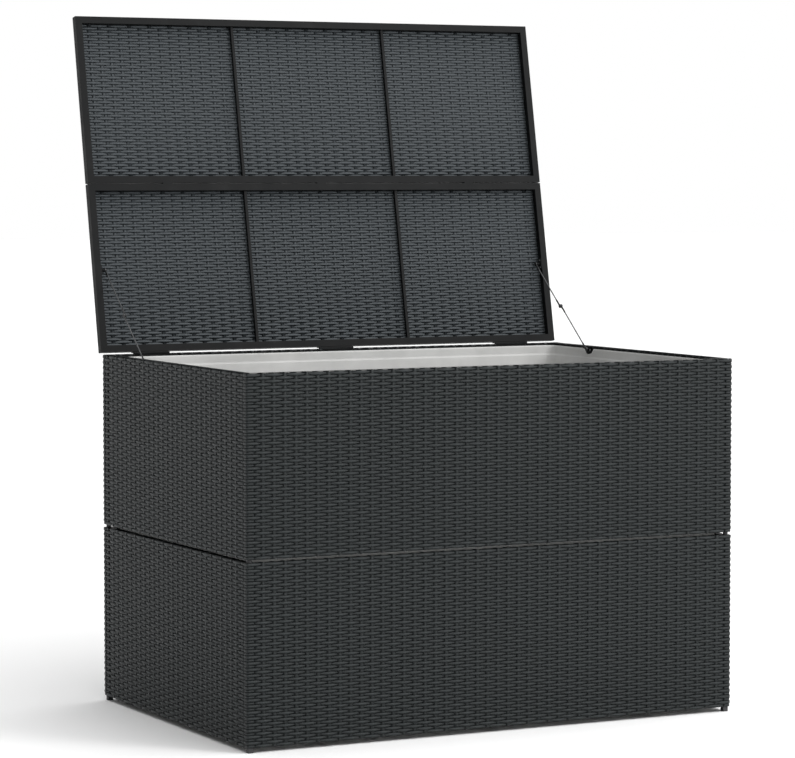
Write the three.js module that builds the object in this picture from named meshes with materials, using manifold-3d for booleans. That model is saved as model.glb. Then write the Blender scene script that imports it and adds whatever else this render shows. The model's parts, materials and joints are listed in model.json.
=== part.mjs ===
// Woven garden storage box with a hinged lid, shown open and held back by two
// folding stays. Millimetres, +Z up, the box standing on Z = 0 with its front
// towards -Y. Panels are steel tube frames with a woven skin on the outside.
import * as THREE from "three";
import Module from "manifold-3d";
import { mergeVertices } from "three/addons/utils/BufferGeometryUtils.js";

// ---------------------------------------------------------------- dimensions
const WIDTH = 1500; // over the woven skins, along X
const DEPTH = 1000; // over the woven skins, along Y
const BODY_HEIGHT = 1000; // ground to the woven rim
const FOOT_HEIGHT = 12; // clear height under the bottom panels
const FOOT_SIDE = 15;
const TIER_GAP = 4; // open seam between the lower and upper panels
const TUBE = 18; // square tube of the panel frames
const SKIN = 3.7; // woven skin
const RIM = 2.6; // the skins stand above and below the rails by this and FIT
const FIT = 0.3; // gap left between pieces that touch
const STAKES_WIDE = 47; // woven columns across the width
const STAKES_DEEP = 31; // woven columns across the depth
const RIB = 0.8; // height of the ribs that the stakes make in the skin

const LID_FRONT_INSET = 11; // the shut lid stops short of the front face
const LID_REAR_INSET = 1; // and of the rear face
const LID_GAP = 1; // between the rim and the shut lid
const LID_RAIL = 20; // width of the lid's rails
const LID_TUBE = 18; // height of the lid's rails
const LID_SEAM = 3; // gap between the two halves of the lid
const SEAM_WELD = 30; // length of each weld block across that gap
const CROSS_BAR = 8; // width of the bars inside the lid panels
const CROSS_BAR_HEIGHT = 10;
const LID_OPEN = 101; // degrees that the lid opens from shut

const HINGE_LEAF = 110; // length of a hinge along X
const HINGE_DROP = 40; // height of the leaf on the box
const HINGE_PLATE = 2;
const KNUCKLE_RADIUS = 3.6;
const PIN_RADIUS = 1.5;
const HINGE_PLAY = 0.3;
const HINGE_SET_BACK = 3.5; // pin axis behind the rear face
const HINGE_FROM_END = 155; // outer hinges, middle to the end of the box
const HINGE_BITE = 0.4; // a leaf's overlap with its knuckles
const HINGE_LEDGE = 1; // the lid leaf's tab above its knuckle
const PIN_CAP = 1; // thickness of the pin's two end caps
const PIN_CAP_STEP = 0.8; // caps are smaller than the knuckles by this
const SEAT_PLAY = 1.5; // skin cut back beside a hinge
const SEAT_DROP = 4; // and below it

const STAY_REACH = 245; // stay anchors, in front of the pin axis
const STAY_OFFSET = 11; // stay anchors, above and below the pin axis
const STAY_RADIUS = 2;
const STAY_EYE = 6;
const STAY_STUD = 2;
const STAY_BOSS = 4.5; // shoulder of a stud
const STAY_PLAY = 0.6; // between the two links
const STAY_WALL_PLAY = 0.9; // between the lower link and the liner
const STUD_TIP = 0.5; // a stud stands out past its link
const SHOULDER_PLAY = 0.4; // between a link and the shoulder of its stud
const BRACKET_HALF = 15; // half the length of a bracket

const LINER_CLEAR = 4; // liner wall to the panel frames
const LINER_WALL = 2;
const LINER_TOP_DROP = 8; // hem below the rim
const LINER_LIFT = 0.8; // liner floor above the floor bars
const HEM_HEIGHT = 28;
const HEM_IN = 2.5; // hem inwards from the liner's outer face
const HEM_PLAY = 0.4; // between the hem and the top rails
const NOTCH_SIDE = 4; // the hem is cut back beside a stay bracket
const NOTCH_DEPTH = 17;

const FLOOR_BAR_WIDTH = 25;
const FLOOR_BAR_HEIGHT = 15;

const BOLT_RADIUS = 3;
const BOLT_HEAD = 5.5;
const BOLT_HEAD_HEIGHT = 4;
const BOLT_PLAY = 0.3;

const SPIGOT_RADIUS = 4; // plugs in the ends of the corner posts
const SPIGOT_DEPTH = 12;
const SPIGOT_SHOULDER = 7; // radius of the dowels between the two tiers

// ------------------------------------------------------------ derived places
const X_OUT = WIDTH / 2;
const Y_OUT = DEPTH / 2;
const FRAME_X = X_OUT - SKIN - FIT; // outer faces of the panel frames
const FRAME_Y = Y_OUT - SKIN - FIT;
const INNER_X = FRAME_X - TUBE; // clear inside of the panel frames
const INNER_Y = FRAME_Y - TUBE;
const TIER = (BODY_HEIGHT - FOOT_HEIGHT - TIER_GAP) / 2;
const TIERS = {
  lower: [FOOT_HEIGHT, FOOT_HEIGHT + TIER],
  upper: [BODY_HEIGHT - TIER, BODY_HEIGHT],
};
const LID_FRONT = -Y_OUT + LID_FRONT_INSET; // shut lid, along Y
const LID_REAR = Y_OUT - LID_REAR_INSET;
const LID_MIDDLE = (LID_FRONT + LID_REAR) / 2;
const LID_BOTTOM = BODY_HEIGHT + LID_GAP; // shut lid, along Z
const LID_TOP = LID_BOTTOM + LID_TUBE + FIT + SKIN;
const PIN_Y = Y_OUT + HINGE_SET_BACK;
const PIN_Z = BODY_HEIGHT + LID_GAP / 2;
const HINGES = {
  left: -X_OUT + HINGE_FROM_END,
  middle: 0,
  right: X_OUT - HINGE_FROM_END,
};

const openAngle = THREE.MathUtils.degToRad(LID_OPEN);
// The stay anchors in the plane of the side, from the pin axis.
const boxAnchor = [-STAY_REACH, -STAY_OFFSET];
const lidAnchorShut = [-STAY_REACH, STAY_OFFSET];
const swingOpen = ([y, z]) => [
  y * Math.cos(openAngle) + z * Math.sin(openAngle),
  -y * Math.sin(openAngle) + z * Math.cos(openAngle),
];
const lidAnchor = swingOpen(lidAnchorShut);
const STAY_SPAN = Math.hypot(lidAnchor[0] - boxAnchor[0], lidAnchor[1] - boxAnchor[1]);
const stayAngle = Math.atan2(lidAnchor[1] - boxAnchor[1], lidAnchor[0] - boxAnchor[0]);

// The open lid reaches furthest back; the whole part is centred on Y.
const lidTip = swingOpen([LID_FRONT - PIN_Y, LID_TOP - PIN_Z]);
const CENTRE_Y = (-Y_OUT + PIN_Y + lidTip[0]) / 2;

// ----------------------------------------------------------------- modelling
const wasm = await Module();
wasm.setup();

function solid(geometry) {
  const g = geometry.clone();
  g.deleteAttribute("normal");
  g.deleteAttribute("uv");
  const m = mergeVertices(g, 1e-4);
  return new wasm.Manifold(new wasm.Mesh({
    numProp: 3,
    vertProperties: new Float32Array(m.attributes.position.array),
    triVerts: new Uint32Array(m.index.array),
  }));
}

function toGeometry(body) {
  const m = body.getMesh();
  const g = new THREE.BufferGeometry();
  g.setAttribute("position", new THREE.BufferAttribute(new Float32Array(m.vertProperties), 3));
  g.setIndex(new THREE.BufferAttribute(new Uint32Array(m.triVerts), 1));
  const flat = g.toNonIndexed();
  flat.computeVertexNormals();
  return flat;
}

const sorted = (a, b) => (a < b ? [a, b] : [b, a]);

// A block between two limits on each axis, in either order.
function block(xs, ys, zs) {
  const [x, y, z] = [sorted(...xs), sorted(...ys), sorted(...zs)];
  const g = new THREE.BoxGeometry(x[1] - x[0], y[1] - y[0], z[1] - z[0]);
  g.translate((x[0] + x[1]) / 2, (y[0] + y[1]) / 2, (z[0] + z[1]) / 2);
  return solid(g);
}

// A rod between two limits on one axis; the other two numbers place it.
function rod(axis, limits, at, radius, segments = 16) {
  const [a, b] = sorted(...limits);
  const g = new THREE.CylinderGeometry(radius, radius, b - a, segments);
  if (axis === "x") g.rotateZ(Math.PI / 2).translate((a + b) / 2, at[0], at[1]);
  if (axis === "y") g.translate(at[0], (a + b) / 2, at[1]);
  if (axis === "z") g.rotateX(Math.PI / 2).translate(at[0], at[1], (a + b) / 2);
  return solid(g);
}

const union = (...bodies) => bodies.reduce((a, b) => a.add(b));
const cut = (body, ...tools) => tools.reduce((a, b) => a.subtract(b), body);

// Turns a body built for the shut lid to where the open lid has it.
function opened(body) {
  return body
    .translate([0, -PIN_Y, -PIN_Z])
    .rotate([-LID_OPEN, 0, 0])
    .translate([0, PIN_Y, PIN_Z]);
}

const group = new THREE.Group();
group.name = "deck_storage_box";

const looks = {
  frame: { color: 0x24282a, roughness: 0.45, metalness: 0.3 },
  weave: { color: 0x363c3d, roughness: 0.6, metalness: 0.0 },
  liner: { color: 0xe6e6e2, roughness: 0.9, metalness: 0.0 },
  steel: { color: 0x8d9296, roughness: 0.4, metalness: 0.9 },
  black_steel: { color: 0x1d1f20, roughness: 0.5, metalness: 0.4 },
  plastic: { color: 0x151617, roughness: 0.55, metalness: 0.0 },
};

function add(name, look, body) {
  const mesh = new THREE.Mesh(
    toGeometry(body.translate([0, -CENTRE_Y, 0])),
    new THREE.MeshStandardMaterial(looks[look]),
  );
  mesh.name = name;
  group.add(mesh);
}

// -------------------------------------------------------------- panel frames
// A frame in the plane of one face: rails, end posts and posts between them.
// The frame runs along "x" (front and back) or "y" (the two sides).
function panelFrame(along, half, depths, [z0, z1], posts) {
  const place = (run, zs) => (along === "x" ? block(run, depths, zs) : block(depths, run, zs));
  return union(
    place([-half, half], [z0, z0 + TUBE]),
    place([-half, half], [z1 - TUBE, z1]),
    place([-half, -half + TUBE], [z0, z1]),
    place([half - TUBE, half], [z0, z1]),
    ...posts.map((at) => place([at - TUBE / 2, at + TUBE / 2], [z0, z1])),
  );
}

const frameZ = ([z0, z1]) => [z0 + RIM + FIT, z1 - RIM - FIT];
const SIDE_HALF = INNER_Y - FIT; // the side frames fit between front and back
const POST_X = FRAME_X - TUBE / 2; // centre of the corner posts
const POST_Y = FRAME_Y - TUBE / 2;
const BOLT_TIP = INNER_Y + TUBE / 2;

for (const [tier, limits] of Object.entries(TIERS)) {
  const zs = frameZ(limits);
  const middle = (zs[0] + zs[1]) / 2;
  for (const [face, s] of [["front", -1], ["back", 1]]) {
    const frame = panelFrame(
      "x", FRAME_X, [s * INNER_Y, s * FRAME_Y], zs, [-WIDTH / 6, WIDTH / 6],
    );
    const holes = [-1, 1].flatMap((side) => [
      rod("z", [zs[0] - 1, zs[0] + SPIGOT_DEPTH + 1], [side * POST_X, s * POST_Y],
        SPIGOT_RADIUS + FIT),
      rod("z", [zs[1] - SPIGOT_DEPTH - 1, zs[1] + 1], [side * POST_X, s * POST_Y],
        SPIGOT_RADIUS + FIT),
      rod("y", [s * (INNER_Y - 1), s * (BOLT_TIP + 1)], [side * POST_X, middle],
        BOLT_RADIUS + BOLT_PLAY),
    ]);
    if (tier === "upper") {
      add(`${tier}_${face}_frame`, "frame", cut(frame, ...holes.filter((_, i) => i % 3 !== 1)));
    } else {
      add(`${tier}_${face}_frame`, "frame", cut(frame, ...holes));
    }
  }
  for (const [face, s] of [["left", -1], ["right", 1]]) {
    const frame = panelFrame("y", SIDE_HALF, [s * INNER_X, s * FRAME_X], zs, [0]);
    const holes = [-1, 1].map((end) =>
      rod("y", [end * (SIDE_HALF - TUBE - 1), end * (SIDE_HALF + 1)], [s * POST_X, middle],
        BOLT_RADIUS + BOLT_PLAY));
    add(`${tier}_${face}_frame`, "frame", cut(frame, ...holes));
  }
  // Corner bolts, from inside the side panels into the front and back posts.
  for (const [end, y] of [["front", -1], ["back", 1]]) {
    for (const [side, x] of [["left", -1], ["right", 1]]) {
      const head = SIDE_HALF - TUBE - FIT;
      add(`${tier}_${end}_${side}_bolt`, "steel", union(
        rod("y", [y * head, y * BOLT_TIP], [x * POST_X, middle], BOLT_RADIUS),
        rod("y", [y * head, y * (head - BOLT_HEAD_HEIGHT)], [x * POST_X, middle], BOLT_HEAD),
      ));
    }
  }
}

// Stacking dowels that carry the upper corner posts on the lower ones.
const DOWEL_LOW = frameZ(TIERS.lower)[1];
const DOWEL_HIGH = frameZ(TIERS.upper)[0];
for (const [end, y] of [["front", -1], ["back", 1]]) {
  for (const [side, x] of [["left", -1], ["right", 1]]) {
    const at = [x * POST_X, y * POST_Y];
    add(`${end}_${side}_dowel`, "plastic", union(
      rod("z", [DOWEL_LOW - SPIGOT_DEPTH, DOWEL_HIGH + SPIGOT_DEPTH], at, SPIGOT_RADIUS),
      rod("z", [DOWEL_LOW + FIT, DOWEL_HIGH - FIT], at, SPIGOT_SHOULDER),
    ));
    // Foot caps, plugged into the lower corner posts.
    const bottom = frameZ(TIERS.lower)[0];
    const h = FOOT_SIDE / 2;
    add(`${end}_${side}_foot`, "plastic", union(
      block([at[0] - h, at[0] + h], [at[1] - h, at[1] + h], [0, bottom - FIT]),
      rod("z", [bottom - 1, bottom + SPIGOT_DEPTH], at, SPIGOT_RADIUS),
    ));
  }
}

// --------------------------------------------------------------- woven skins
// A skin in its own plane: ribbed outside, flat inside, from a to b along the
// face and from z0 to z1 up it. "out" is its outer face.
function ribbed(a, b, out, stakes, [z0, z1]) {
  const steps = stakes * 2;
  const shape = new THREE.Shape();
  shape.moveTo(a, out - RIB);
  for (let i = 1; i <= steps; i++) {
    shape.lineTo(a + ((b - a) * i) / steps, out - (i % 2 ? 0 : RIB));
  }
  shape.lineTo(b, out - SKIN);
  shape.lineTo(a, out - SKIN);
  const g = new THREE.ExtrudeGeometry(shape, { depth: z1 - z0, bevelEnabled: false });
  g.translate(0, 0, z0);
  return solid(g);
}

const hingeSeats = Object.values(HINGES).map((x) =>
  block([x - HINGE_LEAF / 2 - SEAT_PLAY, x + HINGE_LEAF / 2 + SEAT_PLAY], [FRAME_Y, Y_OUT + 1],
    [PIN_Z - HINGE_DROP - SEAT_DROP, BODY_HEIGHT + 1]));

for (const [tier, limits] of Object.entries(TIERS)) {
  for (const [face, turn] of [["front", 180], ["back", 0]]) {
    const plate = ribbed(-X_OUT, X_OUT, Y_OUT, STAKES_WIDE, limits);
    const skin = tier === "upper" && face === "back" ? cut(plate, ...hingeSeats) : plate;
    add(`${tier}_${face}_weave`, "weave", skin.rotate([0, 0, turn]));
  }
  for (const [face, turn] of [["left", 90], ["right", -90]]) {
    const skin = ribbed(-FRAME_Y, FRAME_Y, X_OUT, STAKES_DEEP, limits);
    add(`${tier}_${face}_weave`, "weave", skin.rotate([0, 0, turn]));
  }
}

// --------------------------------------------------------------------- floor
// Bars across the bottom rails, with the liner standing on them.
const FLOOR_Z = frameZ(TIERS.lower)[0] + TUBE + FIT;
for (const [name, x] of [["left", -WIDTH / 3], ["middle", 0], ["right", WIDTH / 3]]) {
  add(`floor_bar_${name}`, "frame", block(
    [x - FLOOR_BAR_WIDTH / 2, x + FLOOR_BAR_WIDTH / 2], [-POST_Y, POST_Y],
    [FLOOR_Z, FLOOR_Z + FLOOR_BAR_HEIGHT],
  ));
}

// --------------------------------------------------------------------- liner
// Five flat panels, each a seam's gap from the next, with a hem along the top.
const LINER_X = INNER_X - LINER_CLEAR;
const LINER_Y = INNER_Y - LINER_CLEAR;
const LINER_TOP = BODY_HEIGHT - LINER_TOP_DROP;
const LINER_BOTTOM = FLOOR_Z + FLOOR_BAR_HEIGHT + LINER_LIFT;
const HEM_OUT = LINER_CLEAR - HEM_PLAY;
const WALL_Z = [LINER_BOTTOM + LINER_WALL + FIT, LINER_TOP];
const HEM_Z = [LINER_TOP - HEM_HEIGHT, LINER_TOP];
const SIDE_RUN = LINER_Y - HEM_IN - FIT; // the side walls fit between the others

add("liner_floor", "liner", block(
  [-LINER_X, LINER_X], [-LINER_Y, LINER_Y], [LINER_BOTTOM, LINER_BOTTOM + LINER_WALL],
));
for (const [face, s] of [["front", -1], ["back", 1]]) {
  add(`liner_${face}`, "liner", union(
    block([-LINER_X, LINER_X], [s * (LINER_Y - LINER_WALL), s * LINER_Y], WALL_Z),
    block([-LINER_X, LINER_X], [s * (LINER_Y - HEM_IN), s * (LINER_Y + HEM_OUT)], HEM_Z),
  ));
}
const anchorY = PIN_Y + boxAnchor[0];
const notchY = [anchorY - BRACKET_HALF - NOTCH_SIDE, anchorY + BRACKET_HALF + NOTCH_SIDE];
for (const [face, s] of [["left", -1], ["right", 1]]) {
  add(`liner_${face}`, "liner", cut(
    union(
      block([s * (LINER_X - LINER_WALL), s * LINER_X], [-SIDE_RUN, SIDE_RUN], WALL_Z),
      block([s * (LINER_X - HEM_IN), s * (LINER_X + HEM_OUT)], [-SIDE_RUN, SIDE_RUN], HEM_Z),
    ),
    block([s * (LINER_X - HEM_IN - 1), s * INNER_X], notchY,
      [LINER_TOP - NOTCH_DEPTH, LINER_TOP + 1]),
  ));
}

// ----------------------------------------------------------------------- lid
// Two halves of square tube, joined by weld blocks across the seam.
const HALVES = {
  rear: [LID_MIDDLE + LID_SEAM / 2, LID_REAR],
  front: [LID_FRONT, LID_MIDDLE - LID_SEAM / 2],
};
const RAILS_Z = [LID_BOTTOM, LID_BOTTOM + LID_TUBE];

const lidHalf = ([y0, y1]) => {
  const bar = (x) => block(
    [x - CROSS_BAR / 2, x + CROSS_BAR / 2], [y0, y1], [RAILS_Z[1] - CROSS_BAR_HEIGHT, RAILS_Z[1]],
  );
  return union(
    block([-X_OUT, X_OUT], [y0, y0 + LID_RAIL], RAILS_Z),
    block([-X_OUT, X_OUT], [y1 - LID_RAIL, y1], RAILS_Z),
    block([-X_OUT, -X_OUT + LID_RAIL], [y0, y1], RAILS_Z),
    block([X_OUT - LID_RAIL, X_OUT], [y0, y1], RAILS_Z),
    bar(-WIDTH / 6), bar(WIDTH / 6),
  );
};
const weldBlocks = [-WIDTH / 3, 0, WIDTH / 3].map((x) => block(
  [x - SEAM_WELD / 2, x + SEAM_WELD / 2], [HALVES.front[1] - 1, HALVES.rear[0] + 1], RAILS_Z,
));
add("lid_frame", "frame", opened(union(
  lidHalf(HALVES.rear), lidHalf(HALVES.front), ...weldBlocks,
)));
for (const [name, [y0, y1]] of Object.entries(HALVES)) {
  const skin = ribbed(-X_OUT, X_OUT, LID_TOP, STAKES_WIDE, [-y1, -y0]).rotate([90, 0, 0]);
  add(`lid_${name}_weave`, "weave", opened(skin));
}

// -------------------------------------------------------------------- hinges
const PIN = [PIN_Y, PIN_Z];
const BORE = PIN_RADIUS + HINGE_PLAY;
for (const [name, x] of Object.entries(HINGES)) {
  const half = HINGE_LEAF / 2;
  const third = HINGE_LEAF / 6; // half the length of the lid's knuckle
  const end = half + HINGE_PLAY + PIN_CAP;
  const bore = rod("x", [x - half - 1, x + half + 1], PIN, BORE, 24);
  const boxPlate = [FRAME_Y + FIT, FRAME_Y + FIT + HINGE_PLATE];
  const box = [-1, 1].flatMap((s) => {
    const run = [x + s * (third + HINGE_PLAY), x + s * half];
    return [
      rod("x", run, PIN, KNUCKLE_RADIUS, 24),
      block(run, [boxPlate[0], PIN_Y], [PIN_Z - KNUCKLE_RADIUS, PIN_Z - BORE + HINGE_BITE]),
    ];
  });
  add(`${name}_hinge_box_leaf`, "steel", cut(union(
    block([x - half, x + half], boxPlate, [PIN_Z - HINGE_DROP, PIN_Z - BORE + HINGE_BITE]), ...box,
  ), bore));

  const lidPlate = [LID_REAR + FIT, LID_REAR + FIT + HINGE_PLATE];
  const run = [x - third, x + third];
  add(`${name}_hinge_lid_leaf`, "steel", opened(cut(union(
    block([x - half, x + half], lidPlate, [PIN_Z + KNUCKLE_RADIUS + HINGE_PLAY, RAILS_Z[1] - 1]),
    rod("x", run, PIN, KNUCKLE_RADIUS, 24),
    block(run, [lidPlate[0], PIN_Y],
      [PIN_Z + BORE - HINGE_BITE, PIN_Z + KNUCKLE_RADIUS + HINGE_LEDGE]),
  ), bore)));

  add(`${name}_hinge_pin`, "steel", union(
    rod("x", [x - end, x + end], PIN, PIN_RADIUS, 24),
    rod("x", [x - end, x - end + PIN_CAP], PIN, KNUCKLE_RADIUS - PIN_CAP_STEP),
    rod("x", [x + end - PIN_CAP, x + end], PIN, KNUCKLE_RADIUS - PIN_CAP_STEP),
  ));
}

// --------------------------------------------------------------------- stays
// Each stay is two straight links of equal length, side by side at the middle
// eye. The lower link turns on the box bracket and the upper one on the lid
// bracket; both fold back towards the pin axis as the lid shuts.
const LINK = 2 * STAY_RADIUS; // thickness of a link
const LOWER_TOP = LINER_X - HEM_IN - STAY_WALL_PLAY;
const LOWER_PLANE = [LOWER_TOP - LINK, LOWER_TOP];
const UPPER_PLANE = [LOWER_PLANE[0] - STAY_PLAY - LINK, LOWER_PLANE[0] - STAY_PLAY];

// A link in the side's plane, from an anchor along an angle.
function link(s, plane, [y, z], angle, clearance) {
  const length = STAY_SPAN / 2;
  const [p0, p1] = [s * plane[0], s * plane[1]];
  const middle = (p0 + p1) / 2;
  const bare = length - 2 * STAY_STUD; // runs into both eyes
  const wire = solid(new THREE.CylinderGeometry(STAY_RADIUS, STAY_RADIUS, bare, 12)
    .translate(0, length / 2, 0));
  return cut(
    union(
      rod("x", [p0, p1], [0, 0], STAY_EYE),
      rod("x", [p0, p1], [length, 0], STAY_EYE),
      wire.translate([middle, 0, 0]),
    ),
    rod("x", [p0 - s, p1 + s], [0, 0], STAY_STUD + clearance),
    rod("x", [p0 - s, p1 + s], [length, 0], STAY_STUD + clearance),
  )
    .rotate([THREE.MathUtils.radToDeg(angle), 0, 0])
    .translate([0, PIN_Y + y, PIN_Z + z]);
}

for (const [side, s] of [["left", -1], ["right", 1]]) {
  add(`${side}_stay_lower`, "steel", link(s, LOWER_PLANE, boxAnchor, stayAngle, FIT));
  add(`${side}_stay_upper`, "steel", link(s, UPPER_PLANE, lidAnchor, stayAngle + Math.PI, FIT));

  const boxAt = [PIN_Y + boxAnchor[0], PIN_Z + boxAnchor[1]];
  const boxPlate = [s * (INNER_X - FIT), s * (INNER_X - FIT - HINGE_PLATE)];
  const railZ = [frameZ(TIERS.upper)[1] - TUBE, frameZ(TIERS.upper)[1]];
  add(`${side}_stay_box_bracket`, "black_steel", union(
    block(boxPlate, [boxAt[0] - BRACKET_HALF, boxAt[0] + BRACKET_HALF],
      [railZ[0] + 1, railZ[1] - 1]),
    rod("x", [boxPlate[0], s * (LOWER_PLANE[0] - STUD_TIP)], boxAt, STAY_STUD),
    rod("x", [boxPlate[0], s * (LOWER_PLANE[1] + SHOULDER_PLAY)], boxAt, STAY_BOSS),
  ));

  const lidAt = [PIN_Y + lidAnchorShut[0], PIN_Z + lidAnchorShut[1]];
  const lidFace = X_OUT - LID_RAIL;
  const lidPlate = [s * (lidFace - FIT), s * (lidFace - FIT - HINGE_PLATE)];
  add(`${side}_stay_lid_bracket`, "black_steel", opened(union(
    block(lidPlate, [lidAt[0] - BRACKET_HALF, lidAt[0] + BRACKET_HALF],
      [RAILS_Z[0] + 1, RAILS_Z[1] - 1]),
    rod("x", [lidPlate[0], s * (UPPER_PLANE[0] - STUD_TIP)], lidAt, STAY_STUD),
    rod("x", [lidPlate[0], s * (UPPER_PLANE[1] + SHOULDER_PLAY)], lidAt, STAY_BOSS),
  )));
}

export default group;
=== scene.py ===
"""Looks of a woven garden storage box: strands, liner, metalwork and a plain studio, built
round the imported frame. Everything is in metres, in the frame of the CAD model."""

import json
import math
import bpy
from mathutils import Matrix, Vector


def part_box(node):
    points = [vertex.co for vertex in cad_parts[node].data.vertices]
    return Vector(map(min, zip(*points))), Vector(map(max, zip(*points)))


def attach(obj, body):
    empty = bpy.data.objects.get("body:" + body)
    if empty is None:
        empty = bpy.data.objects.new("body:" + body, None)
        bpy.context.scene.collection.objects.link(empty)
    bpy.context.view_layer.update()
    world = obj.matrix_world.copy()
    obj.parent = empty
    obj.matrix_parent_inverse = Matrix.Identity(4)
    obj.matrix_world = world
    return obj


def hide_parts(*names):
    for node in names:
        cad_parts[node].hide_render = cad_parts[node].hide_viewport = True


bl_info = {
    "name": "Woven Storage Box",
    "version": (1, 0, 0),
    "blender": (4, 5, 0),
    "location": "View3D > Sidebar > Storage Box",
    "description": "Weaves the panels and dresses the frame of a garden storage box",
    "category": "Object",
}

import bpy
import numpy as np
from bpy.props import FloatProperty, FloatVectorProperty, IntProperty, PointerProperty
from mathutils import Matrix, Vector

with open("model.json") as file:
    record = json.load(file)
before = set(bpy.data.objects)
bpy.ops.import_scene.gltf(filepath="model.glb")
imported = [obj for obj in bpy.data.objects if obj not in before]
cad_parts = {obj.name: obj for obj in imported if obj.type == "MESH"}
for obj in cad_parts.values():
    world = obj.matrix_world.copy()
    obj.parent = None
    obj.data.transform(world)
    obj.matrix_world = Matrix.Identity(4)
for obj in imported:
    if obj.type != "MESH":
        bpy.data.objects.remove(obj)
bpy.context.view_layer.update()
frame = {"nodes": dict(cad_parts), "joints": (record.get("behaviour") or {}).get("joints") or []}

MM = 0.001
SIDES = {"left": -1, "right": 1}
ENDS = {"front": -1, "back": 1}
TIERS = ("lower", "upper")
JOINTS = {joint["name"]: joint for joint in frame["joints"]}
HINGES = ("left", "middle", "right")

# ------ sizes and colours


def length(name, description, default, smallest=0.0, largest=10.0):
    """A length in metres that a user may change."""
    return FloatProperty(
        name=name, description=description, default=default, min=smallest, max=largest,
        precision=4, subtype="DISTANCE", unit="LENGTH",
    )


def colour(name, description, default):
    """A colour in linear light."""
    return FloatVectorProperty(
        name=name, description=description, default=default, size=3, min=0.0, max=1.0,
        subtype="COLOR",
    )


def whole(name, description, default):
    """A number of stakes or strands."""
    return IntProperty(name=name, description=description, default=default, min=5, max=120)


def bearing(name, description, degrees):
    return FloatProperty(
        name=name, description=description, default=math.radians(degrees), subtype="ANGLE",
        unit="ROTATION",
    )


class WeaveSettings(bpy.types.PropertyGroup):
    columns_wide: whole("Columns Across", "Stakes across the front, end posts included", 47)
    columns_deep: whole("Columns Deep", "Stakes across a side, end posts included", 29)
    rows: whole("Rows in a Panel", "Strands one above the other in a panel", 60)
    strand_width: length("Strand Width", "Width of a woven strand", 8.9 * MM, 0.001, 0.05)
    strand_thickness: length("Strand Thickness", "Thickness of a woven strand", 1.7 * MM)
    wave: length("Wave", "How far a strand moves out over a stake", 1.9 * MM)
    stake_width: length("Stake Width", "Width of an upright stake", 12.5 * MM)
    stake_thickness: length("Stake Thickness", "Thickness of an upright stake", 1.2 * MM)
    # The strands run from the dark tone in their dips to the light one on their crowns: painted
    # shade and a painted highlight, with grooves and patches adding a little.
    dark: colour("Dark Strand", "Darker tone of the strands", (0.0120, 0.0145, 0.0150))
    light: colour("Light Strand", "Lighter tone of the strands", (0.0215, 0.0265, 0.0275))
    # Painted light: the lid strands' inner faces, the underside of the open lid, take these
    # lighter tones in place of the light that falls there.
    painted_lit_lid_dark: colour("Dark Lid Strand", "Darker tone under the lid", (0.0450, 0.0524, 0.0580))
    painted_lit_lid_light: colour("Light Lid Strand", "Lighter tone under the lid", (0.0560, 0.0644, 0.0714))


class MetalSettings(bpy.types.PropertyGroup):
    coat: colour("Powder Coat", "Colour of the coated tubes", (0.0035, 0.0038, 0.0040))
    zinc: colour("Zinc", "Colour of the plated steel", (0.45, 0.46, 0.47))
    plastic: colour("Plastic", "Colour of the feet and dowels", (0.014, 0.014, 0.015))
    edge_radius: length("Edge Radius", "Rounding of the tubes' edges", 1.6 * MM)
    screw_radius: length("Screw Radius", "Radius of a screw head", 3.6 * MM)


class LinerSettings(bpy.types.PropertyGroup):
    cloth: colour("Cloth", "Colour of the liner", (0.54, 0.54, 0.53))
    thickness: length("Thickness", "Thickness of the liner's cloth", 1.2 * MM)
    fold: length("Fold Depth", "How far the walls fall in folds", 7.0 * MM)
    sag: length("Sag", "How far the floor hangs between its bars", 7.0 * MM)


class StaySettings(bpy.types.PropertyGroup):
    rope_radius: length("Rope Radius", "Radius of the stay's wire rope", 2.0 * MM)
    lay_length: length("Lay Length", "Length of one turn of the wires", 26 * MM)


class StageSettings(bpy.types.PropertyGroup):
    floor: colour("Floor", "Colour of the floor", (0.90, 0.90, 0.90))
    floor_half: length("Floor Half Side", "Half of the floor's side", 60.0, 1.0, 200.0)
    dim: FloatProperty(
        name="Dim Side", description="Brightness of the studio behind the camera", default=0.22,
        min=0.0, max=1.0,
    )
    lens: FloatProperty(
        name="Lens", description="Focal length of the camera", default=148.12, min=10.0,
        max=500.0, subtype="DISTANCE_CAMERA", unit="CAMERA",
    )
    turn: bearing("Turn", "How far left of the front the camera stands", 27.1008)
    dip: bearing("Dip", "How far the camera looks down", 3.6298)
    eye: FloatVectorProperty(
        name="Eye", description="Where the camera stands", default=(-4.26824, -8.34594, 1.52375),
        size=3, subtype="TRANSLATION", unit="LENGTH",
    )


SETTINGS = {
    "storage_weave": WeaveSettings,
    "storage_metal": MetalSettings,
    "storage_liner": LinerSettings,
    "storage_stays": StaySettings,
    "storage_stage": StageSettings,
}

# ------ materials


def both_ways(operation):
    """An operator and its reflected form; each adds one Math node."""

    def plain(self, other):
        return self.finish.maths(operation, self, other)

    def reflected(self, other):
        return self.finish.maths(operation, other, self)

    return plain, reflected


class Socket:
    """A shader output, so that shader maths reads as plain Python."""

    def __init__(self, finish, link):
        self.finish, self.link = finish, link

    __add__, __radd__ = both_ways("ADD")
    __sub__, __rsub__ = both_ways("SUBTRACT")
    __mul__, __rmul__ = both_ways("MULTIPLY")


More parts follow.
